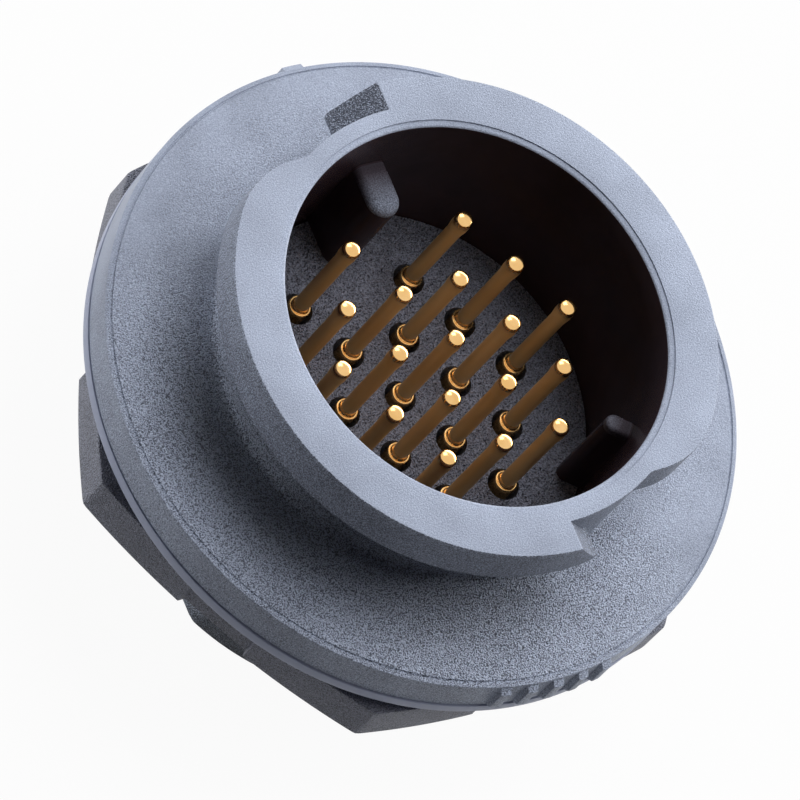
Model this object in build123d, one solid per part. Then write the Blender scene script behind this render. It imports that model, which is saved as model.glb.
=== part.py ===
from build123d import *
from math import asin, cos, degrees, radians, sin
import os

# Circular panel connector: an eighteen-pin male receptacle with a rear jam nut, in millimetres.
# The origin is the centre of the flange's rear face, the plane that faces the panel. +Z is the
# mating direction and +Y points at the main key. Angles are degrees in plan, measured from +X.

# The bore that every other radius is built out from
bore_radius = 12.0

# Flange
seat_width = 5.0
flange_rim_height = 2.5
flange_crown = 0.7
rim_edge_break = 0.1
collar_root_fillet = 0.4

# Collar and mouth
collar_wall = 1.4
mouth_height = 10.26
lip_width = 0.42
lip_step = 0.06
lip_round = 0.25

# Bayonet lobes on the collar
lobe_height = 1.8
lobe_lead_thickness = 2.76
lobe_tail_thickness = 2.95
lobe_start_angle = 119.0
lobe_lead_sweep = 11.0
lobe_lead_round = 6.0
lobe_step_angle = 180.0
lobe_end_angle = 270.4
lobe_bevel_run = 1.98
lobe_bevel_drop = 2.35
lobe_toe_run = 0.48
lobe_toe_drop = 0.31
lobe_toe_round = 0.3

# Key ribs inside the collar
main_key_angle = 90.0
main_key_width = 2.15
main_key_reach = 3.35
minor_key_angle = 320.4
minor_key_width = 1.15
minor_key_reach = 1.65
key_setback = 4.26
key_edge_share = 0.28

# Raised marks on the rim
mark_height = 2.2
mark_proud = 0.38
mark_edge_round = 0.1
index_mark_angle = 89.7
index_mark_width = 1.7
bar_mark_count = 5
bar_mark_first_angle = 260.4
bar_mark_pitch = 5.0
bar_mark_width = 0.85

# Barrel behind the flange
barrel_wall = 3.0
pilot_step = 0.66
barrel_length = 12.0
pilot_length = 2.1
thread_chamfer = 0.5
pilot_chamfer = 0.25
flat_wall = 0.6

# Bore behind the mouth
insert_depth = 11.4
ledge_depth = 5.4
ledge_width = 0.8

# Contact pattern
row_counts = (3, 4, 5, 4, 3)
pitch_across = 3.4244
pitch_along = 3.9347
pattern_angle = -28.45
blank_row = 1
blank_number = 0

# Insert
insert_clearance = 0.08
insert_boss_clearance = 0.1
insert_boss_length = 2.4
cavity_radius = 1.0
seat_radius = 1.3
seat_depth = 1.3
seal_groove_width = 1.3
seal_groove_depth = 0.9
seal_groove_setback = 2.0
seal_side_clearance = 0.1
seal_chamfer = 0.25

# Contacts
pin_length = 8.39
pin_radius = 0.49
nose_radius = 0.53
nose_length = 1.3
nose_taper = 0.35
nose_facet_angle = 30
shoulder_rise = 0.5
shoulder_radius = 0.71
locking_clearance = 0.1
locking_length = 1.0
crimp_radius = 0.88
crimp_wall = 0.3
crimp_depth = 3.0
crimp_length = 2.8

# Retainer plate and its sprung ring
plate_thickness = 1.4
plate_clearance = 0.1
plate_hole_clearance = 0.1
ring_thickness = 0.8
ring_radial_width = 1.1
ring_groove_depth = 0.5
ring_clearance = 0.06
ring_gap_angle = 30.0

# Panel gasket
gasket_thickness = 0.8
gasket_bore_clearance = 0.35
gasket_offset = 0.12
gasket_offset_angle = 216.0
gasket_chamfer = 0.12

# Jam nut
nut_thickness = 3.01
nut_gap = 0.76
nut_wall = 5.47
nut_side_bow = 0.95
nut_corner_angle = 1.7
nut_corner_round = 0.35
nut_bore_clearance = 0.08
nut_bore_chamfer = 0.45
nut_edge_break = 0.12
notch_width = 4.65
notch_depth = 0.47
nut_sides = 6

# A length too small to matter, for telling edges apart
near = 0.001

# Radii that several pieces share
collar_radius = bore_radius + collar_wall
lobe_radius = collar_radius + lobe_height
rear_bore_radius = bore_radius - ledge_width
thread_radius = bore_radius + barrel_wall
flange_radius = thread_radius + seat_width
nut_bore_radius = thread_radius + nut_bore_clearance

# Places along the axis that several pieces share
insert_face = mouth_height - insert_depth
ledge_level = insert_face - ledge_depth
boss_level = ledge_level - insert_boss_length
plate_rear = boss_level - plate_thickness
thread_end = pilot_length - barrel_length
nut_front = -gasket_thickness - nut_gap


def polar(radius, angle, height=0.0):
    return Vector(radius * cos(radians(angle)), radius * sin(radians(angle)), height)


def disc(radius, bottom, top):
    return Pos(0, 0, bottom) * extrude(Circle(radius), top - bottom)


def ring(outer, inner, bottom, top):
    return disc(outer, bottom, top) - disc(inner, bottom, top)


def turned(points):
    # A solid of revolution about Z from (radius, height) pairs.
    outline = Polyline(*[(radius, 0, height) for radius, height in points], close=True)
    return revolve(make_face(outline), Axis.Z, 360)


def edges_at(solid, radius, height):
    # The circular edges of one radius at one height.
    found = []
    for edge in solid.edges().filter_by(GeomType.CIRCLE):
        if abs(edge.radius - radius) < near and abs(edge.arc_center.Z - height) < near:
            found.append(edge)
    return found


def flange_and_collar():
    root = flange_rim_height + flange_crown
    lip_radius = bore_radius + lip_width
    body = turned([
        (0, 0),
        (flange_radius - rim_edge_break, 0),
        (flange_radius, rim_edge_break),
        (flange_radius, flange_rim_height),
        (collar_radius, root),
        (collar_radius, mouth_height),
        (lip_radius, mouth_height),
        (lip_radius, mouth_height - lip_step),
        (0, mouth_height - lip_step),
    ])
    return fillet(edges_at(body, collar_radius, root), collar_root_fillet)


def barrel():
    pilot_radius = thread_radius - pilot_step
    body = turned([
        (0, 0),
        (thread_radius, 0),
        (thread_radius, thread_end + thread_chamfer),
        (thread_radius - thread_chamfer, thread_end),
        (pilot_radius, thread_end),
        (pilot_radius, pilot_chamfer - barrel_length),
        (pilot_radius - pilot_chamfer, -barrel_length),
        (0, -barrel_length),
    ])
    # Two parallel flats stop the barrel from turning in the panel's hole.
    flat_distance = bore_radius + flat_wall
    return body & Box(2 * flat_distance, 3 * thread_radius, 3 * barrel_length)


def lobe_sector(first_angle, last_angle, thickness):
    # One angular stretch of a lobe, from inside the collar's wall out to the lobe's radius.
    inner = (bore_radius + collar_radius) / 2
    middle = (first_angle + last_angle) / 2
    outline = [
        Line(polar(inner, first_angle), polar(lobe_radius, first_angle)),
        ThreePointArc(polar(lobe_radius, first_angle), polar(lobe_radius, middle),
                      polar(lobe_radius, last_angle)),
        Line(polar(lobe_radius, last_angle), polar(inner, last_angle)),
        ThreePointArc(polar(inner, last_angle), polar(inner, middle), polar(inner, first_angle)),
    ]
    return Pos(0, 0, mouth_height - thickness) * extrude(make_face(outline), thickness)


def lobe_lead():
    # The lead stretch, which grows out of the collar's wall along a straight ramp.
    inner = (bore_radius + collar_radius) / 2
    full_angle = lobe_start_angle + lobe_lead_sweep
    middle = (full_angle + lobe_step_angle) / 2
    inner_middle = (lobe_start_angle + lobe_step_angle) / 2
    outline = [
        Line(polar(inner, lobe_start_angle), polar(collar_radius, lobe_start_angle)),
        Line(polar(collar_radius, lobe_start_angle), polar(lobe_radius, full_angle)),
        ThreePointArc(polar(lobe_radius, full_angle), polar(lobe_radius, middle),
                      polar(lobe_radius, lobe_step_angle)),
        Line(polar(lobe_radius, lobe_step_angle), polar(inner, lobe_step_angle)),
        ThreePointArc(polar(inner, lobe_step_angle), polar(inner, inner_middle),
                      polar(inner, lobe_start_angle)),
    ]
    lead = extrude(make_face(outline), lobe_lead_thickness)
    corner = polar(lobe_radius, full_angle, lobe_lead_thickness / 2)
    upright = lead.edges().filter_by(Axis.Z).sort_by_distance(corner)[0]
    return Pos(0, 0, mouth_height - lobe_lead_thickness) * fillet(upright, lobe_lead_round)


def lobe():
    # The tail stretch is a little thicker and ends in a bevel, a flatter toe and a low upright.
    reach = lobe_bevel_run + lobe_toe_run
    spare_angle = lobe_end_angle + 2 * degrees(asin(reach / collar_radius))
    tail = lobe_sector(lobe_step_angle, spare_angle, lobe_tail_thickness)
    over = lobe_radius
    wedge = Polyline(
        (0, 0),
        (lobe_bevel_run, -lobe_bevel_drop),
        (reach, -lobe_bevel_drop - lobe_toe_drop),
        (reach, -over),
        (over, -over),
        (over, over),
        (0, over),
        close=True,
    )
    end = Plane(origin=(0, 0, mouth_height),
                x_dir=polar(1, lobe_end_angle + 90),
                z_dir=polar(1, lobe_end_angle))
    tail -= extrude(end * make_face(wedge), 2 * lobe_radius, both=True)
    toe_angle = lobe_end_angle + degrees(asin(reach / lobe_radius))
    toe = polar(lobe_radius, toe_angle, mouth_height - lobe_tail_thickness)
    upright = tail.edges().filter_by(Axis.Z).sort_by_distance(toe)[0]
    return lobe_lead() + fillet(upright, lobe_toe_round)


def key_rib(angle, width, reach):
    # A rib with a rounded nose, standing on the wall of the bore.
    tip = bore_radius - reach + width / 2
    root = (bore_radius + collar_radius) / 2
    length = root - tip
    height = insert_depth - key_setback
    plan = Pos(tip + length / 2, 0) * Rectangle(length, width) + Pos(tip, 0) * Circle(width / 2)
    rib = extrude(plan, height)
    front = rib.faces().sort_by(Axis.Z)[-1]
    free_edges = [e for e in front.edges() if e.center().X < root - near]
    rib = fillet(free_edges, key_edge_share * width)
    return Rot(0, 0, angle) * Pos(0, 0, insert_face) * rib


def rim_mark(angle, width):
    # A plain raised bar on the flange's rim.
    place = Pos(flange_radius, 0, flange_rim_height / 2)
    block = place * Box(2 * mark_proud, width, mark_height)
    outer = block.faces().sort_by(Axis.X)[-1]
    return Rot(0, 0, angle) * fillet(outer.edges(), mark_edge_round)


def bore_void():
    # Everything that the shell leaves open along its axis.
    ring_seat = plate_rear - ring_thickness - ring_clearance
    return turned([
        (0, mouth_height),
        (bore_radius + lip_round, mouth_height),
        (bore_radius + lip_round, mouth_height - lip_step),
        (bore_radius, mouth_height - lip_step - lip_round),
        (bore_radius, ledge_level),
        (rear_bore_radius, ledge_level),
        (rear_bore_radius, plate_rear),
        (rear_bore_radius + ring_groove_depth, plate_rear),
        (rear_bore_radius + ring_groove_depth, ring_seat),
        (rear_bore_radius, ring_seat),
        (rear_bore_radius, -barrel_length),
        (0, -barrel_length),
    ])


def shell():
    body = flange_and_collar() + barrel()
    body += lobe()
    body += Rot(0, 0, 180) * lobe()
    body += rim_mark(index_mark_angle, index_mark_width)
    for number in range(bar_mark_count):
        body += rim_mark(bar_mark_first_angle + number * bar_mark_pitch, bar_mark_width)
    body -= bore_void()
    body += key_rib(main_key_angle, main_key_width, main_key_reach)
    body += key_rib(minor_key_angle, minor_key_width, minor_key_reach)
    return body


def contact_places():
    # Five rows in a hexagonal pattern, turned with the insert. One place is left blank.
    places = []
    half = (len(row_counts) - 1) / 2
    for row, count in enumerate(row_counts):
        across = (row - half) * pitch_across
        for number in range(count):
            along = ((count - 1) / 2 - number) * pitch_along
            if (row, number) != (blank_row, blank_number):
                places.append(Rot(0, 0, pattern_angle) * Pos(across, along, 0))
    return places


def pin_insert():
    radius = bore_radius - insert_clearance
    boss_radius = rear_bore_radius - insert_boss_clearance
    body = disc(radius, ledge_level, insert_face) + disc(boss_radius, boss_level, ledge_level)
    groove_top = insert_face - seal_groove_setback
    body -= ring(radius, radius - seal_groove_depth, groove_top - seal_groove_width, groove_top)
    cavity = disc(cavity_radius, boss_level, insert_face)
    seat = disc(seat_radius, boss_level, boss_level + seat_depth)
    for place in contact_places():
        body -= place * (cavity + seat)
    return body


def insert_seal():
    groove_top = insert_face - seal_groove_setback - seal_side_clearance
    width = seal_groove_width - 2 * seal_side_clearance
    inner = bore_radius - insert_clearance - seal_groove_depth
    body = ring(bore_radius, inner, groove_top - width, groove_top)
    return chamfer(body.edges().filter_by(GeomType.CIRCLE), seal_chamfer)


def contact():
    # One turned pin contact: round nose, pin, shoulder, locking collar and crimp barrel.
    tip = insert_face + pin_length
    shoulder = insert_face + shoulder_rise
    locking_radius = seat_radius - locking_clearance
    collar_top = boss_level + seat_depth
    collar_rear = collar_top - locking_length
    crimp_rear = collar_rear - crimp_length
    profile = []
    for angle in range(0, 91, nose_facet_angle):
        point = polar(nose_radius, 90 - angle)
        profile.append((point.X, tip - nose_radius + point.Y))
    profile += [
        (nose_radius, tip - nose_length),
        (pin_radius, tip - nose_length - nose_taper),
        (pin_radius, shoulder),
        (shoulder_radius, shoulder),
        (shoulder_radius, collar_top),
        (locking_radius, collar_top),
        (locking_radius, collar_rear),
        (crimp_radius, collar_rear),
        (crimp_radius, crimp_rear),
        (crimp_radius - crimp_wall, crimp_rear),
        (crimp_radius - crimp_wall, crimp_rear + crimp_depth),
        (0, crimp_rear + crimp_depth),
    ]
    return turned(profile)


def contact_retainer():
    radius = rear_bore_radius - plate_clearance
    body = disc(radius, plate_rear, boss_level)
    hole = disc(crimp_radius + plate_hole_clearance, plate_rear, boss_level)
    for place in contact_places():
        body -= place * hole
    return body


def retaining_ring():
    # A sprung ring with a gap, seated in its groove behind the plate.
    outer = rear_bore_radius + ring_groove_depth - ring_clearance
    body = ring(outer, outer - ring_radial_width, plate_rear - ring_thickness, plate_rear)
    reach = 2 * outer
    wedge = Polyline((0, 0), polar(reach, -ring_gap_angle / 2), polar(reach, ring_gap_angle / 2),
                     close=True)
    gap = Pos(0, 0, plate_rear - ring_thickness) * extrude(make_face(wedge), ring_thickness)
    return body - gap


def panel_gasket():
    inner = thread_radius + gasket_bore_clearance
    body = ring(flange_radius, inner, -gasket_thickness, 0)
    body = chamfer(edges_at(body, flange_radius, -gasket_thickness), gasket_chamfer)
    return Pos(polar(gasket_offset, gasket_offset_angle)) * body


def panel_nut():
    # A hexagon with bowed sides, one shallow notch in the middle of each side.
    outline = []
    step = 360 / nut_sides
    nut_corner_radius = nut_bore_radius + nut_wall
    side_radius = nut_corner_radius * cos(radians(step / 2)) + nut_side_bow
    for side in range(nut_sides):
        start = nut_corner_angle + side * step
        outline.append(ThreePointArc(polar(nut_corner_radius, start),
                                     polar(side_radius, start + step / 2),
                                     polar(nut_corner_radius, start + step)))
    body = extrude(make_face(outline), -nut_thickness)
    body = fillet(body.edges().filter_by(Axis.Z), nut_corner_round)
    body = chamfer(body.faces().filter_by(Axis.Z).edges(), nut_edge_break)
    bore = nut_bore_radius
    wide = bore + nut_bore_chamfer
    body -= turned([
        (0, 0),
        (wide, 0),
        (bore, -nut_bore_chamfer),
        (bore, nut_bore_chamfer - nut_thickness),
        (wide, -nut_thickness),
        (0, -nut_thickness),
    ])
    floor = side_radius - notch_depth
    for side in range(nut_sides):
        middle = nut_corner_angle + (side + 0.5) * step
        notch = Pos(floor + notch_width / 2, 0, -nut_thickness / 2) * Box(
            notch_width, notch_width, 2 * nut_thickness)
        body -= Rot(0, 0, middle) * notch
    return Pos(0, 0, nut_front) * body


def write(node, solid):
    export_step(solid, "parts/" + node + ".step")


os.makedirs("parts", exist_ok=True)
write("shell", shell())
write("panel_gasket", panel_gasket())
write("panel_nut", panel_nut())
write("pin_insert", pin_insert())
write("insert_seal", insert_seal())
write("contact_retainer", contact_retainer())
write("retaining_ring", retaining_ring())
one_contact = contact()
for number, place in enumerate(contact_places(), start=1):
    write("contact_%02d" % number, place * one_contact)
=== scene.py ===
import math

import bmesh
import bpy
import numpy as np
from mathutils import Matrix, Vector


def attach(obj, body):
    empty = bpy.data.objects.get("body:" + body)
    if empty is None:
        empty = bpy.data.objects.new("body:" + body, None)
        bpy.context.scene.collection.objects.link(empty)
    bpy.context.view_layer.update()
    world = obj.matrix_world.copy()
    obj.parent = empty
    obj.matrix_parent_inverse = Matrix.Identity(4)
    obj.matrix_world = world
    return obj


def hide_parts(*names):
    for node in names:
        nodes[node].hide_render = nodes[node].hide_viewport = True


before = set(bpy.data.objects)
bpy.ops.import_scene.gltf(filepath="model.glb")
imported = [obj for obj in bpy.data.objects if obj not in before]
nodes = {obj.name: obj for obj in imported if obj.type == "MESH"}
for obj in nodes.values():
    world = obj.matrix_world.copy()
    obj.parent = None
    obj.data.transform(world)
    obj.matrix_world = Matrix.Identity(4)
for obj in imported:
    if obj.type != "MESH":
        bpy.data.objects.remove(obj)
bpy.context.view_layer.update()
MM = 0.001

# Sizes in millimetres, as in the CAD.
flange_radius = 20.0
flange_rim = 2.5
flange_crown = 0.7
collar_radius = 13.4
mouth = 10.26
bore_radius = 12.0
lip_radius = 12.42
lip_step = 0.1
lobe_radius = 15.2
lobe_lead = 2.76
lobe_tail = 2.95
lobe_start = 119.0
lobe_full = 130.0
lobe_end = 270.4
bevel_run = 1.98
bevel_drop = 2.35
toe_reach = 2.46
toe_drop = 2.66
toe_round = 0.3
lead_round = 6.0
thread_radius = 15.0
thread_pitch = 1.0
thread_depth = 0.6
thread_start = -0.85
thread_end = -9.9
pilot_radius = 14.34
barrel_end = -12.0
barrel_bore = 11.2
barrel_chamfer = 0.25
barrel_top = 1.0
barrel_neck = thread_radius - 0.65
thread_run_in = 1.2
seal_bore = 12.2
seal_bore_end = -7.0
flat_distance = 12.6
seat_radius = 12.3
seat_depth = -1.6
insert_face = -1.14
rib_drop = 4.26
rib_top = mouth - rib_drop
rib_root = 12.6
rib_foot = insert_face - 0.3
rim_grooves = ((19.56, 0.0), (19.61, 0.07), (19.69, 0.07), (19.74, 0.0))
gasket_bore = 15.35
gasket_thickness = 0.8
gasket_shift = 0.12
gasket_shift_angle = 216
nut_front = -1.56
nut_thickness = 3.01
nut_corner = 20.55
nut_bow = 0.95
nut_turn = 1.7
nut_bore = 15.08
nut_chamfer = 0.45
notch_width = 4.65
notch_depth = 0.47
bar_lift = 0.38
bar_height = 2.2
index_angle = 89.7
index_width = 1.7
first_bar_angle = 260.4
bar_step = 5.0
bar_width = 0.85
row_pitch = 3.4244
pin_pitch = 3.9347
pin_turn = -28.45
pin_length = 8.39
pin_radius = 0.49
nose_radius = 0.56
nose_edge = 0.26
nose_drop = 0.324
shoulder_radius = 0.71
contact_collar = (1.2, -7.64, -8.64)  # radius, front and rear
crimp_radius = 0.88
crimp_bore = 0.58
crimp_end = -11.44
wire_hole_end = -8.44

# Spans of radius or height, in millimetres, over which the look of the plastic or the gold changes.
rib_edge = (11.7, 11.9)
# Painted highlight and shade on the ends of the key ribs: lighter towards the nose, darker towards the wall,
# over this span of radius.
rib_shade_span = (9.2, 11.4)
flange_wear = (15.0, 19.3)
rim_wear = (flange_radius - 0.2, flange_radius - 0.05)
collar_rise = (6.9, 7.5)
# Painted light: the collar's top is made lighter over this span of height.
collar_top = (mouth - 0.3, mouth - 0.1)
nose_gloss = (insert_face + 7.6, insert_face + 8.1)
foot_gloss = (insert_face + 0.6, insert_face + 1.6)
lobe_foot = 4.2


# Mesh helpers.
def piece(name, verts, faces, body, material, replaces=(), sharp=32):
    weld = 0.002
    mesh = bpy.data.meshes.new(name)
    mesh.from_pydata((np.asarray(verts, float) * MM).tolist(), [], faces)
    bm = bmesh.new()
    bm.from_mesh(mesh)
    bmesh.ops.remove_doubles(bm, verts=bm.verts, dist=weld * MM)
    bmesh.ops.dissolve_degenerate(bm, edges=bm.edges, dist=weld * MM * 0.5)
    bmesh.ops.recalc_face_normals(bm, faces=bm.faces)
    bm.to_mesh(mesh)
    bm.free()
    mesh.shade_smooth()
    mesh.set_sharp_from_angle(angle=math.radians(sharp))
    obj = bpy.data.objects.new(name, mesh)
    bpy.context.scene.collection.objects.link(obj)
    obj.data.materials.append(material)
    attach(obj, body)
    if replaces:
        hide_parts(*replaces)
    return obj


def sections(angles, pairs):
    """Pairs of radius and height, each a number or one value an angle, as swept's (n, m, 2) array."""
    ones = np.ones(len(angles))
    return np.stack([np.stack([r * ones, z * ones], -1) for r, z in pairs], 1)


def rounded(path, radii, steps):
    """Eases each corner of a closed (n, k, 2) path over its radius, by a curve that fits its two sides."""
    k = path.shape[1]
    out = []
    for i in range(k):
        here = path[:, i]
        if radii[i] <= 0:
            out.append(here[:, None])
            continue
        before, after = path[:, i - 1], path[:, (i + 1) % k]
        to_b, to_a = before - here, after - here
        len_b = np.linalg.norm(to_b, axis=1, keepdims=True)
        len_a = np.linalg.norm(to_a, axis=1, keepdims=True)
        reach = np.minimum(radii[i], 0.49 * np.minimum(len_b, len_a))
        p0 = here + to_b / np.maximum(len_b, 1e-9) * reach
        p2 = here + to_a / np.maximum(len_a, 1e-9) * reach
        t = np.linspace(0, 1, steps + 1)[None, :, None]
        out.append((1 - t) ** 2 * p0[:, None] + 2 * t * (1 - t) * here[:, None] + t ** 2 * p2[:, None])
    return np.concatenate(out, 1)


def swept(angles, path, closed=True):
    """A mesh of revolution whose section may change with the angle; path is (n, m, 2)."""
    n, m, _ = path.shape
    a = np.radians(np.asarray(angles))[:, None]
    verts = np.stack([path[:, :, 0] * np.cos(a), path[:, :, 0] * np.sin(a), path[:, :, 1]], -1)
    faces = []
    for i in range(n):
        j = (i + 1) % n
        for k in range(m if closed else m - 1):
            q = (k + 1) % m
            faces.append((i * m + k, j * m + k, j * m + q, i * m + q))
    return verts.reshape(-1, 3), faces


# Materials.
def node_material(name):
    mat = bpy.data.materials.new(name)
    mat.use_nodes = True
    tree = mat.node_tree
    tree.nodes.clear()
    out = tree.nodes.new("ShaderNodeOutputMaterial")
    bsdf = tree.nodes.new("ShaderNodeBsdfPrincipled")
    tree.links.new(bsdf.outputs[0], out.inputs[0])
    return mat, tree, bsdf


def feed(tree, value, socket):
    """Links a socket to another node's output, or sets it to a number."""
    if hasattr(value, "node"):
        tree.links.new(value, socket)
    else:
        socket.default_value = value


def noise(tree, scale, detail, stretch=None):
    where = tree.nodes.new("ShaderNodeTexCoord")
    source = where.outputs["Object"]
    if stretch:
        mapping = tree.nodes.new("ShaderNodeMapping")
        mapping.inputs["Scale"].default_value = stretch
        tree.links.new(source, mapping.inputs["Vector"])
        source = mapping.outputs[0]
    tex = tree.nodes.new("ShaderNodeTexNoise")
    tex.inputs["Scale"].default_value = scale
    tex.inputs["Detail"].default_value = detail
    tex.inputs["Roughness"].default_value = 0.5
    tree.links.new(source, tex.inputs["Vector"])
    return tex.outputs["Fac"]


def ramp(tree, source, stops):
    node = tree.nodes.new("ShaderNodeValToRGB")
    for element, (place, colour) in zip(node.color_ramp.elements, stops):
        element.position = place
        element.color = (*colour, 1)
    tree.links.new(source, node.inputs["Fac"])
    return node.outputs["Color"]


def spread(tree, source, low, high, from_low=0.3, from_high=0.7):
    node = tree.nodes.new("ShaderNodeMapRange")
    node.inputs["From Min"].default_value = from_low
    node.inputs["From Max"].default_value = from_high
    node.inputs["To Min"].default_value = low
    node.inputs["To Max"].default_value = high
    tree.links.new(source, node.inputs["Value"])
    return node.outputs["Result"]


def graded(tree, source, low, high, span):
    """low to high over a span of radius or height in millimetres."""
    return spread(tree, source, low, high, span[0] * MM, span[1] * MM)


def bump(tree, bsdf, layers):
    """Layers of (height source, strength, distance in mm), chained."""
    normal = None
    for source, strength, distance in layers:
        node = tree.nodes.new("ShaderNodeBump")
        node.inputs["Distance"].default_value = distance * MM
        feed(tree, strength, node.inputs["Strength"])
        tree.links.new(source, node.inputs["Height"])
        if normal:
            tree.links.new(normal, node.inputs["Normal"])
        normal = node.outputs["Normal"]
    tree.links.new(normal, bsdf.inputs["Normal"])


def mixed_colour(tree, factor, low, high):
    node = tree.nodes.new("ShaderNodeMix")
    node.data_type = "RGBA"
    tree.links.new(low, node.inputs[6])
    tree.links.new(high, node.inputs[7])
    tree.links.new(factor, node.inputs[0])
    return node.outputs[2]


def mixed_value(tree, factor, low, high):
    node = tree.nodes.new("ShaderNodeMix")
    node.data_type = "FLOAT"
    feed(tree, low, node.inputs[2])
    feed(tree, high, node.inputs[3])
    tree.links.new(factor, node.inputs[0])
    return node.outputs[0]


def math_node(tree, operation, a, b=None):
    node = tree.nodes.new("ShaderNodeMath")
    node.operation = operation
    feed(tree, a, node.inputs[0])
    if b is not None:
        feed(tree, b, node.inputs[1])
    return node.outputs[0]


def place_on_part(tree):
    """Height, distance from the axis, and X plus Y, of the shaded point in the part's frame."""
    where = tree.nodes.new("ShaderNodeTexCoord")
    split = tree.nodes.new("ShaderNodeSeparateXYZ")
    tree.links.new(where.outputs["Object"], split.inputs[0])
    x, y, z = split.outputs
    square = math_node(tree, "ADD", math_node(tree, "MULTIPLY", x, x), math_node(tree, "MULTIPLY", y, y))
    return z, math_node(tree, "SQRT", square), math_node(tree, "ADD", x, y)


def inside_bore(tree):
    """1 on the glossy walls of the socket, where the shade is painted; on the ends of the ribs less towards
    the nose, a painted highlight there; 0 elsewhere.
    """
    z, radius, _ = place_on_part(tree)
    near_axis = math_node(tree, "LESS_THAN", radius, (bore_radius + 0.12) * MM)
    below_lip = math_node(tree, "LESS_THAN", z, (mouth - 0.2) * MM)
    rib_end = math_node(tree, "MULTIPLY", math_node(tree, "LESS_THAN", radius, (bore_radius - 0.1) * MM),
                        math_node(tree, "GREATER_THAN", z, (rib_top - 0.55) * MM))
    # Painted highlight and shade on the rib ends: lighter towards the nose, darker towards the wall.
    nose_light = graded(tree, radius, 0.95, 0.12, rib_shade_span)
    wall = math_node(tree, "SUBTRACT", 1.0, math_node(tree, "MULTIPLY", rib_end, nose_light))
    return math_node(tree, "MULTIPLY", math_node(tree, "MULTIPLY", near_axis, below_lip), wall)


def slope_grain_and_shade(tree):
    """1 on the sloping ends of the collar's lobes, half on its upright sides, picked by which way each face
    points;
    these get a coarser grain and a painted shade that makes them darker than its top, 0 elsewhere."""
    z, radius, _ = place_on_part(tree)
    where = tree.nodes.new("ShaderNodeTexCoord")
    split = tree.nodes.new("ShaderNodeSeparateXYZ")
    tree.links.new(where.outputs["Normal"], split.inputs[0])
    level = split.outputs[2]
    slope = math_node(tree, "MULTIPLY", spread(tree, level, 0.5, 1.0, 0.3, 0.45),
                      spread(tree, level, 1.0, 0.0, 0.8, 0.92))
    outer = math_node(tree, "MULTIPLY", math_node(tree, "GREATER_THAN", radius, (bore_radius + 0.6) * MM),
                      math_node(tree, "GREATER_THAN", z, lobe_foot * MM))
    return math_node(tree, "MULTIPLY", slope, outer)


def grain_share(tree):
    """How deep the moulded grain is: deepest on the flange near the collar and towards -X and -Y, faint on
    the collar's top and the rim's side."""
    z, radius, x_plus_y = place_on_part(tree)
    side = spread(tree, math_node(tree, "DIVIDE", x_plus_y, radius), 2.2, 0.42, -1.05, -0.15)
    near = graded(tree, radius, 1.2, 0.6, flange_wear)
    rim = graded(tree, radius, 1.0, 0.6, rim_wear)
    flange = math_node(tree, "MULTIPLY", math_node(tree, "MULTIPLY", side, near), rim)
    raised = math_node(tree, "ADD", graded(tree, radius, 1.6, 0.3, rib_edge), slope_grain_and_shade(tree))
    return mixed_value(tree, graded(tree, z, 0.0, 1.0, collar_rise), flange, raised)


def plastic(name, dark, light, rough, specular, grain=9000, grain_height=0.012, speckle=0.5, socket_shade_colours=None):
    """Moulded plastic or rubber with a fine grain; the last argument gives the two near-black colours of the
    socket's glossy wall, a painted shade.
    """
    mat, tree, bsdf = node_material(name)
    fine = noise(tree, grain, 1)
    broad = noise(tree, 260, 3)
    share = grain_share(tree) if socket_shade_colours else None
    amount = math_node(tree, "MULTIPLY", share, speckle) if socket_shade_colours else speckle
    specks = math_node(tree, "MULTIPLY", math_node(tree, "SUBTRACT", fine, 0.47), amount)
    total = math_node(tree, "ADD", specks, spread(tree, broad, 0.46, 0.54))
    if socket_shade_colours:
        z, radius, _ = place_on_part(tree)
        # Painted light: the collar's top is made a little lighter.
        top = graded(tree, z, 0.0, 0.06, collar_top)
        # Painted shade: the key ribs, inside 11.7 mm of the axis, are made darker.
        ribs = graded(tree, radius, -0.13, 0.0, rib_edge)
        # Painted shade: the lobes' sloping ends and upright sides are made darker by where their faces point.
        sides = math_node(tree, "MULTIPLY", slope_grain_and_shade(tree), 0.2)
        total = math_node(tree, "SUBTRACT", total, sides)
        total = math_node(tree, "ADD", math_node(tree, "ADD", total, top), ribs)
    colour = ramp(tree, total, [(0.3, dark), (0.7, light)])
    roughness = spread(tree, fine, rough - 0.08, rough + 0.1)
    grain_strength = 1.0
    if socket_shade_colours:
        mask = inside_bore(tree)
        # Painted shade: the socket's inner walls take near-black colours; their lower roughness is a real
        # glossy finish.
        socket_shade_colour = ramp(tree, broad, [(0.3, socket_shade_colours[0]), (0.7, socket_shade_colours[1])])
        colour = mixed_colour(tree, mask, colour, socket_shade_colour)
        roughness = mixed_value(tree, mask, roughness, 0.24)
        grain_strength = mixed_value(tree, mask, share, 0.06)
    tree.links.new(colour, bsdf.inputs["Base Color"])
    tree.links.new(roughness, bsdf.inputs["Roughness"])
    bsdf.inputs["Specular IOR Level"].default_value = specular
    bsdf.inputs["Specular Tint"].default_value = (0.86, 0.94, 1.0, 1)
    bump(tree, bsdf, [(noise(tree, grain * 0.6, 1), grain_strength, grain_height * 0.6),
                      (fine, grain_strength, grain_height)])
    return mat


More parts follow.
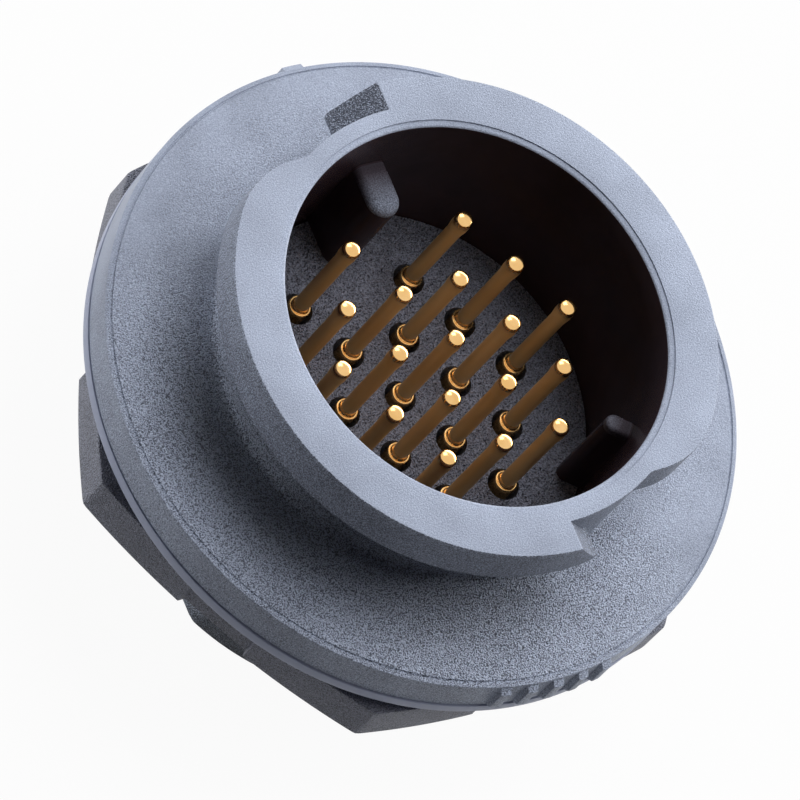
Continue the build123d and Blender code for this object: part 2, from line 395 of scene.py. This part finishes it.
def gold_material():
    """Gold plating, brighter on the nose and at the foot than along the drawn shaft."""
    mat, tree, bsdf = node_material("contact_gold")
    fine = noise(tree, 900, 2, stretch=(1, 1, 0.15))
    tree.links.new(ramp(tree, fine, [(0.35, (0.80, 0.48, 0.18)), (0.7, (0.88, 0.57, 0.25))]),
                   bsdf.inputs["Base Color"])
    bsdf.inputs["Metallic"].default_value = 1.0
    z = place_on_part(tree)[0]
    nose = graded(tree, z, 0.30, -0.07, nose_gloss)
    foot = graded(tree, z, -0.02, 0.30, foot_gloss)
    shaft = math_node(tree, "MINIMUM", nose, foot)
    tree.links.new(math_node(tree, "ADD", spread(tree, fine, 0.2, 0.26), shaft), bsdf.inputs["Roughness"])
    bump(tree, bsdf, [(noise(tree, 700, 1), 0.3, 0.004)])
    return mat


def steel_material():
    mat, tree, bsdf = node_material("spring_steel")
    fine = noise(tree, 3000, 3, stretch=(1, 1, 6))
    tree.links.new(ramp(tree, fine, [(0.3, (0.34, 0.34, 0.35)), (0.7, (0.55, 0.55, 0.56))]),
                   bsdf.inputs["Base Color"])
    bsdf.inputs["Metallic"].default_value = 1.0
    tree.links.new(spread(tree, fine, 0.25, 0.42), bsdf.inputs["Roughness"])
    bump(tree, bsdf, [(fine, 0.5, 0.004)])
    return mat


# Painted shade: the near-black colours of the glossy walls inside the socket.
socket_shade = ((0.033, 0.0215, 0.0265), (0.048, 0.032, 0.039))
shell_plastic = plastic("shell_plastic", (0.084, 0.093, 0.121), (0.388, 0.437, 0.551), 0.42, 0.18,
                        grain=11500, grain_height=0.11, speckle=1.25, socket_shade_colours=socket_shade)
nut_plastic = plastic("nut_plastic", (0.065, 0.068, 0.086), (0.27, 0.284, 0.345), 0.42, 0.12,
                      grain=11500, grain_height=0.14, speckle=1.2)
insert_plastic = plastic("insert_plastic", (0.03, 0.031, 0.041), (0.21, 0.223, 0.285), 0.33, 0.5,
                         grain=9000, grain_height=0.25, speckle=1.0)
gasket_rubber = plastic("gasket_rubber", (0.23, 0.255, 0.35), (0.31, 0.34, 0.45), 0.42, 0.3,
                        grain=2500, grain_height=0.003, speckle=0.3)
seal_rubber = plastic("seal_rubber", (0.010, 0.010, 0.010), (0.018, 0.018, 0.018), 0.55, 0.3)
contact_gold = gold_material()
spring_steel = steel_material()


# Shell, front: collar, lobes and flange.
def lobe_profile(theta):
    """Outer radius, underside and the top's two ends for both bayonet lobes; they shrink to the bare wall."""
    t = np.mod(theta - lobe_start, 180.0) + lobe_start
    full = math.radians(lobe_full - lobe_start)
    p0 = np.array([collar_radius, 0.0])
    p1 = lobe_radius * np.array([math.cos(full), math.sin(full)])
    side = (p1 - p0) / np.linalg.norm(p1 - p0)
    normal = np.array([side[1], -side[0]])
    reach = float(normal @ p0)
    # The upright corner between the ramp and the lobe's round face is eased by an arc that touches both.
    inner = lobe_radius - lead_round
    level = reach - lead_round
    centre = level * normal + math.sqrt(inner ** 2 - level ** 2) * side
    first = centre + lead_round * normal
    last = centre / np.linalg.norm(centre) * lobe_radius
    ang = np.radians(t - lobe_start)
    way = np.stack([np.cos(ang), np.sin(ang)], -1)
    line = reach / np.maximum(way @ normal, 0.05)
    along = way @ centre
    arc = along + np.sqrt(np.maximum(along ** 2 - (centre @ centre - lead_round ** 2), 0))
    outer = np.where(ang < math.atan2(first[1], first[0]), line, arc)
    outer = np.where(ang > math.atan2(last[1], last[0]), lobe_radius, outer)
    under = np.where(t < 180.0, mouth - lobe_lead, mouth - lobe_tail)
    # The tail's end: a bevel, a flatter toe and a low upright face with a rounded outer corner.
    end = np.radians(np.maximum(t - lobe_end, 0.001))
    across = toe_reach - toe_round
    out = math.sqrt((lobe_radius - toe_round) ** 2 - across ** 2)
    along = across * np.sin(end) + out * np.cos(end)
    arc = along + np.sqrt(np.maximum(along ** 2 - ((lobe_radius - toe_round) ** 2 - toe_round ** 2), 0))
    outer = np.where(end > math.atan2(across, out), arc, outer)
    outer = np.where(end > math.atan2(toe_reach, out), toe_reach / np.sin(end), outer)
    gone = lobe_end + math.degrees(math.asin(toe_reach / collar_radius))
    share = np.clip((t - gone) / (lobe_start + 180.0 - gone), 0, 1)
    bare = t >= gone
    outer = np.where(bare, collar_radius, np.maximum(outer, collar_radius))
    under = np.where(bare, mouth - lobe_tail + (lobe_tail - lobe_lead) * share, under)
    steps, drops = [0, bevel_run, toe_reach], [0, bevel_drop, toe_drop]
    top_in = mouth - np.interp(collar_radius * np.sin(end), steps, drops)
    top_out = mouth - np.interp(outer * np.sin(end), steps, drops)
    top_in = np.where(bare, mouth - toe_drop * (1 - share), top_in)
    top_out = np.where(bare, top_in, top_out)
    return outer, under, top_in, top_out


def flange_top(radius, sunk=0.0):
    """The flange's dished front face at a radius, as a pair for sections()."""
    share = (radius - collar_radius) / (flange_radius - collar_radius)
    return radius, flange_rim + flange_crown * (1 - share) - sunk


def shell_front():
    marks = []
    for base in (0.0, 180.0):
        for value in (180.0, lobe_end, lobe_start):
            marks += [base + value - 0.04, base + value + 0.04]
        marks += list(base + lobe_end + np.arange(0.25, 11.0, 0.125))
    angles = np.unique(np.round(np.mod(np.concatenate([np.arange(0, 360, 0.75), marks]), 360), 3))
    outer, under, top_in, top_out = lobe_profile(angles)
    pairs = [(bore_radius, seat_depth), (bore_radius, mouth - lip_step), (lip_radius, mouth - lip_step),
             (lip_radius, mouth), (collar_radius, mouth), (collar_radius, top_in), (outer, top_out),
             (outer, under), (collar_radius, under), (collar_radius, flange_rim + flange_crown)]
    radii = [0, 0.3, 0, 0.02, 0.05, 0.0, 0.07, 0.07, 0.05, 0.4]
    width = flange_radius - collar_radius
    face = [flange_top(collar_radius + width * s) for s in np.linspace(0, 1, 7)[1:-1]]
    face += [flange_top(r, sunk) for r, sunk in rim_grooves]
    pairs += face
    radii += [0] * len(face)
    pairs += [(flange_radius, flange_rim), (flange_radius, 0), (seat_radius, 0), (seat_radius, seat_depth)]
    radii += [0.05, 0.1, 0, 0]
    verts, faces = swept(angles, rounded(sections(angles, pairs), radii, 4))
    return piece("shell_front", verts, faces, "connector", shell_plastic, ["shell"])


# Shell, rear: the threaded barrel with its two flats.
def thread_shape(phase):
    """Radius lost below the crest at this phase of one turn, 0 to 1."""
    p = np.abs(np.mod(phase, 1.0) - 0.5) * 2  # 0 in the root's middle, 1 at the crest's middle
    return thread_depth * (1 - np.clip((p - 0.25) / 0.6, 0, 1))


def shell_barrel():
    angles = np.arange(0, 360, 1.0)
    flat = flat_distance / np.maximum(np.abs(np.cos(np.radians(angles))), 1e-6)
    pairs = [(seal_bore, barrel_top), (barrel_neck, barrel_top)]
    for z in np.arange(thread_start, thread_end - 0.001, -thread_pitch / 10):
        r = thread_radius - thread_shape(z / thread_pitch + angles / 360.0)
        run_in = np.clip((thread_start - z) / thread_run_in, 0, 1)
        r = (thread_radius - thread_depth) * (1 - run_in) + r * run_in
        r = np.minimum(r, pilot_radius + 0.05 + max(0.0, z - thread_end) * 1.2)
        pairs.append((np.minimum(r, flat), z))
    plain = np.minimum(pilot_radius, flat)
    edge = np.minimum(pilot_radius - barrel_chamfer, flat - 0.12)
    pairs += [(plain, thread_end - 0.05), (plain, barrel_end + barrel_chamfer), (edge, barrel_end),
              (barrel_bore + barrel_chamfer, barrel_end), (barrel_bore, barrel_end + barrel_chamfer),
              (barrel_bore, seal_bore_end - 0.2), (seal_bore, seal_bore_end)]
    verts, faces = swept(angles, sections(angles, pairs))
    return piece("shell_barrel", verts, faces, "connector", shell_plastic, ["shell"],
                 sharp=24)


# Shell, inside: the two key ribs.
def key_rib(name, nose, width, edge, turn):
    """An upright rib with a round nose, from the insert up; stepping the outline in rounds its top edge."""
    steps = 6
    tip = nose + width / 2
    outline = [(rib_root, -width / 2), (rib_root, width / 2)]
    outline += [(tip - width / 2 * math.sin(math.radians(a)), width / 2 * math.cos(math.radians(a)))
                for a in np.linspace(0, 180, 19)]
    pts = np.asarray(outline, float)
    n = len(pts)
    ahead = np.roll(pts, -1, 0) - pts
    behind = pts - np.roll(pts, 1, 0)
    na = np.stack([ahead[:, 1], -ahead[:, 0]], -1) / np.linalg.norm(ahead, axis=1, keepdims=True)
    nb = np.stack([behind[:, 1], -behind[:, 0]], -1) / np.linalg.norm(behind, axis=1, keepdims=True)
    normal = na + nb
    normal /= np.linalg.norm(normal, axis=1, keepdims=True)
    rings = [(0.0, rib_foot)]
    for k in range(steps + 1):
        a = math.pi / 2 * k / steps
        rings.append((edge * (1 - math.cos(a)), rib_top - edge + edge * math.sin(a)))
    c, s = math.cos(math.radians(turn)), math.sin(math.radians(turn))
    verts = [(c * x - s * y, s * x + c * y, z) for inset, z in rings for x, y in pts - normal * inset]
    faces = []
    for k in range(len(rings) - 1):
        for i in range(n):
            j = (i + 1) % n
            faces.append((k * n + i, k * n + j, (k + 1) * n + j, (k + 1) * n + i))
    faces.append(tuple(range((len(rings) - 1) * n, len(rings) * n)))
    faces.append(tuple(reversed(range(n))))
    return piece(name, verts, faces, "connector", shell_plastic, sharp=40)


shell_front()
shell_barrel()
key_rib("key_main", nose=8.65, width=2.15, edge=0.6, turn=90.0)
key_rib("key_minor", nose=10.35, width=1.15, edge=0.32, turn=320.4)


# Raised bars on the rim.
def rim_bar(name, angle, width):
    half = math.degrees(width / 2 / flange_radius)
    across = np.linspace(-half, half, 9)
    up = np.linspace(-bar_height / 2, bar_height / 2, 9)
    verts, faces = [], []
    for a in across:
        for z in up:
            edge = min((half - abs(a)) / half * width / 2, bar_height / 2 - abs(z))
            lift = bar_lift * min(1.0, (edge / 0.12) ** 0.6) if edge > 0 else 0.0
            r = flange_radius - 0.05 + lift + (0.05 if edge > 0 else 0)
            t = math.radians(angle + a)
            verts.append((r * math.cos(t), r * math.sin(t), flange_rim / 2 + z))
    m = len(up)
    for i in range(len(across) - 1):
        for k in range(m - 1):
            faces.append((i * m + k, (i + 1) * m + k, (i + 1) * m + k + 1, i * m + k + 1))
    return piece(name, verts, faces, "connector", shell_plastic)


rim_bar("rim_index", index_angle, index_width)
for number in range(5):
    rim_bar("rim_bar_%d" % (number + 1), first_bar_angle + bar_step * number, bar_width)


# Gasket, slightly wavy and off centre, as it lies in the photograph.
def gasket():
    angles = np.arange(0, 360, 1.5)
    wave = 0.02 * np.sin(np.radians(angles * 3 + 20)) + 0.015 * np.sin(np.radians(angles * 5 + 80))
    pairs = [(gasket_bore, 0), (flange_radius + wave, 0), (flange_radius + wave, -gasket_thickness),
             (gasket_bore, -gasket_thickness)]
    verts, faces = swept(angles, rounded(sections(angles, pairs), [0, 0.05, 0.14, 0], 4))
    way = math.radians(gasket_shift_angle)
    shift = gasket_shift * np.array([math.cos(way), math.sin(way), 0])
    return piece("gasket", verts + shift, faces, "connector", gasket_rubber,
                 ["panel_gasket"])


gasket()


# Jam nut: six bowed sides, each with a shallow wrench notch.
def nut_radius(theta):
    half = nut_corner * math.sin(math.radians(30))
    arc = (half ** 2 + nut_bow ** 2) / (2 * nut_bow)
    middle = nut_corner * math.cos(math.radians(30)) + nut_bow
    centre = middle - arc

    def side(k):
        phi = np.radians(theta - nut_turn - 30 - 60 * k)
        inside = arc ** 2 - (centre * np.sin(phi)) ** 2
        return np.where(np.cos(phi) > 0.3, centre * np.cos(phi) + np.sqrt(np.maximum(inside, 0)), 60.0)

    sides = np.stack([side(k) for k in range(6)])
    sides.sort(axis=0)
    a, b = sides[0], sides[1]
    ease = 0.14
    h = np.clip(0.5 - 0.5 * (b - a) / ease, 0, 0.5)
    r = a - ease * h * (1 - h) * 0.8
    phi = np.radians(np.mod(theta - nut_turn, 60.0) - 30)
    floor = (middle - notch_depth) / np.cos(phi)
    inside_notch = np.abs(floor * np.sin(phi)) < notch_width / 2
    return np.where(inside_notch, np.minimum(r, floor), r)


def nut():
    middle = nut_corner * math.cos(math.radians(30)) + nut_bow
    edge = math.degrees(math.atan2(notch_width / 2, middle))
    marks = []
    for k in range(6):
        at = nut_turn + 30 + 60 * k
        marks += [at - edge - 0.06, at - edge + 0.02, at + edge - 0.02, at + edge + 0.06]
        marks += list(nut_turn + 60 * k + np.linspace(-1.5, 1.5, 13))
    angles = np.unique(np.round(np.mod(np.concatenate([np.arange(0, 360, 1.0), marks]), 360), 3))
    outer = nut_radius(angles)
    low = nut_front - nut_thickness
    wide = nut_bore + nut_chamfer
    pairs = [(wide, nut_front), (outer, nut_front), (outer, low), (wide, low),
             (nut_bore, low + nut_chamfer), (nut_bore, nut_front - nut_chamfer)]
    verts, faces = swept(angles, rounded(sections(angles, pairs), [0, 0.12, 0.12, 0.08, 0, 0], 3))
    return piece("jam_nut", verts, faces, "nut", nut_plastic, ["panel_nut"], sharp=28)


nut()


# Contacts: rows of 3, 4, 5, 4 and 3, with the first place of the second row left blank.
def contact_centres():
    centres = []
    c, s = math.cos(math.radians(pin_turn)), math.sin(math.radians(pin_turn))
    for row, count in enumerate((3, 4, 5, 4, 3)):
        x = (row - 2) * row_pitch
        for k in range(count):
            y = ((count - 1) / 2 - k) * pin_pitch
            if (row, k) != (1, 0):
                centres.append((c * x - s * y, s * x + c * y))
    return centres


def contact_profile():
    """Radius and height from the tip down: domed nose, taper, shaft, shoulder, flange and crimp barrel."""
    tip, shoulder = insert_face + pin_length, insert_face + 0.5
    pts = [(math.sin(math.radians(a)), tip - 1 + math.cos(math.radians(a))) for a in range(0, 24, 4)]
    for a in range(24, 91, 6):
        pts.append((nose_radius - nose_edge + nose_edge * math.sin(math.radians(a)),
                    tip - nose_drop + nose_edge * math.cos(math.radians(a))))
    pts += [(nose_radius, tip - 0.8), (0.556, tip - 1.05), (0.54, tip - 1.25), (0.517, tip - 1.45),
            (0.498, tip - 1.65), (pin_radius, tip - 1.85)]
    pts += [(pin_radius, shoulder + 0.2), (0.497, shoulder + 0.13), (0.515, shoulder + 0.07),
            (0.545, shoulder + 0.02), (0.585, shoulder - 0.005), (0.615, shoulder), (0.645, shoulder),
            (0.672, shoulder - 0.008), (0.693, shoulder - 0.025), (0.706, shoulder - 0.05),
            (shoulder_radius, shoulder - 0.08)]
    wide, top, low = contact_collar
    pts += [(shoulder_radius, top), (wide, top), (wide, low), (crimp_radius, low),
            (crimp_radius, crimp_end + 0.08), (crimp_radius - 0.08, crimp_end),
            (crimp_bore + 0.04, crimp_end), (crimp_bore, crimp_end + 0.04), (crimp_bore, wire_hole_end),
            (0, wire_hole_end)]
    return pts


def contact(number, place):
    angles = np.arange(40) * 360 / 40
    verts, faces = swept(angles, sections(angles, contact_profile()), closed=False)
    piece("pin_%02d" % number, verts + np.array([place[0], place[1], 0]), faces, "connector", contact_gold,
          ["contact_%02d" % number], sharp=40)


for number, place in enumerate(contact_centres(), start=1):
    contact(number, place)

# CAD nodes that stay, with their materials.
for name, material in (("pin_insert", insert_plastic), ("contact_retainer", insert_plastic),
                       ("insert_seal", seal_rubber), ("retaining_ring", spring_steel)):
    nodes[name].data.materials.clear()
    nodes[name].data.materials.append(material)


# Stage, lights and camera.
def seen_directly(tree):
    """1 for camera, glossy and transmission rays, 0 for the diffuse light that falls on the object."""
    path = tree.nodes.new("ShaderNodeLightPath")
    bounced = math_node(tree, "MAXIMUM", path.outputs["Is Glossy Ray"],
                        path.outputs["Is Transmission Ray"])
    return math_node(tree, "MAXIMUM", path.outputs["Is Camera Ray"], bounced)


def stage_floor():
    """A pale floor that shows nearly white and still takes the object's shadow."""
    mesh = bpy.data.meshes.new("floor")
    half, gap = 1.2, 0.00002
    z = barrel_end * MM - gap
    corners = [(-half, -half, z), (half, -half, z), (half, half, z), (-half, half, z)]
    mesh.from_pydata(corners, [], [(0, 1, 2, 3)])
    floor = bpy.data.objects.new("floor", mesh)
    bpy.context.scene.collection.objects.link(floor)
    mat, tree, bsdf = node_material("floor_white")
    bsdf.inputs["Base Color"].default_value = (0.5, 0.5, 0.5, 1)
    bsdf.inputs["Roughness"].default_value = 0.9
    out = [n for n in tree.nodes if n.bl_idname == "ShaderNodeOutputMaterial"][0]
    glow = tree.nodes.new("ShaderNodeEmission")
    glow.inputs["Color"].default_value = (1, 1, 1, 1)
    mix = tree.nodes.new("ShaderNodeMixShader")
    tree.links.new(math_node(tree, "MULTIPLY", seen_directly(tree), 0.95), mix.inputs["Fac"])
    tree.links.new(bsdf.outputs[0], mix.inputs[1])
    tree.links.new(glow.outputs[0], mix.inputs[2])
    tree.links.new(mix.outputs[0], out.inputs[0])
    floor.data.materials.append(mat)


def world_light():
    """White to the camera and in reflections, and a very faint fill otherwise."""
    world = bpy.data.worlds.new("studio")
    bpy.context.scene.world = world
    world.use_nodes = True
    tree = world.node_tree
    tree.nodes.clear()
    out = tree.nodes.new("ShaderNodeOutputWorld")
    soft = tree.nodes.new("ShaderNodeBackground")
    soft.inputs["Color"].default_value = (1.0, 0.86, 1.0, 1)
    soft.inputs["Strength"].default_value = 0.03
    white = tree.nodes.new("ShaderNodeBackground")
    white.inputs["Color"].default_value = (1, 1, 1, 1)
    white.inputs["Strength"].default_value = 1.0
    mix = tree.nodes.new("ShaderNodeMixShader")
    tree.links.new(seen_directly(tree), mix.inputs["Fac"])
    tree.links.new(soft.outputs[0], mix.inputs[1])
    tree.links.new(white.outputs[0], mix.inputs[2])
    tree.links.new(mix.outputs[0], out.inputs[0])


def softbox(name, azimuth, elevation, distance, size, watts, mirrored=True):
    """An area lamp at a plan angle from +X and a height angle, aimed at the part; the overhead ones aren't
    seen in the gold, so that it keeps its colour."""
    a, e = math.radians(azimuth), math.radians(elevation)
    way = Vector((math.cos(a) * math.cos(e), math.sin(a) * math.cos(e), math.sin(e)))
    lamp = bpy.data.lights.new(name, "AREA")
    lamp.shape = "RECTANGLE"
    lamp.size, lamp.size_y = size
    lamp.energy = watts
    obj = bpy.data.objects.new(name, lamp)
    bpy.context.scene.collection.objects.link(obj)
    obj.visible_camera = False
    obj.visible_glossy = mirrored
    obj.location = way * distance
    obj.rotation_mode = "QUATERNION"
    obj.rotation_quaternion = (-way).to_track_quat("-Z", "Y")


stage_floor()
world_light()
softbox("lamp_back", 30, 72, 0.5, (0.22, 0.24), 1.5, mirrored=False)
softbox("lamp_rear", 45, 20, 0.5, (0.40, 0.18), 1.25)
softbox("lamp_right", 2, 16, 0.5, (0.36, 0.18), 2.4)
softbox("lamp_top", 318, 64, 0.5, (0.24, 0.24), 0.6, mirrored=False)
softbox("lamp_left", 74, 48, 0.5, (0.20, 0.20), 0.4)
softbox("lamp_low", 124, 3, 0.5, (0.14, 0.10), 0.8)
softbox("lamp_under", 121, -0.8, 0.2, (0.10, 0.012), 0.15)

camera_data = bpy.data.cameras.new("camera")
camera_data.sensor_width = 36
camera_data.lens = 430.42
camera_data.clip_start = 0.01
camera_data.clip_end = 10
camera = bpy.data.objects.new("camera", camera_data)
bpy.context.scene.collection.objects.link(camera)
camera.matrix_world = Matrix((
    (0.834221, 0.204972, -0.511919, -0.2856806),
    (-0.380576, 0.885815, -0.265507, -0.1483095),
    (0.399044, 0.416316, 0.816973, 0.4546293),
    (0, 0, 0, 1),
))
bpy.context.scene.camera = camera
bpy.context.scene.view_settings.view_transform = "Standard"
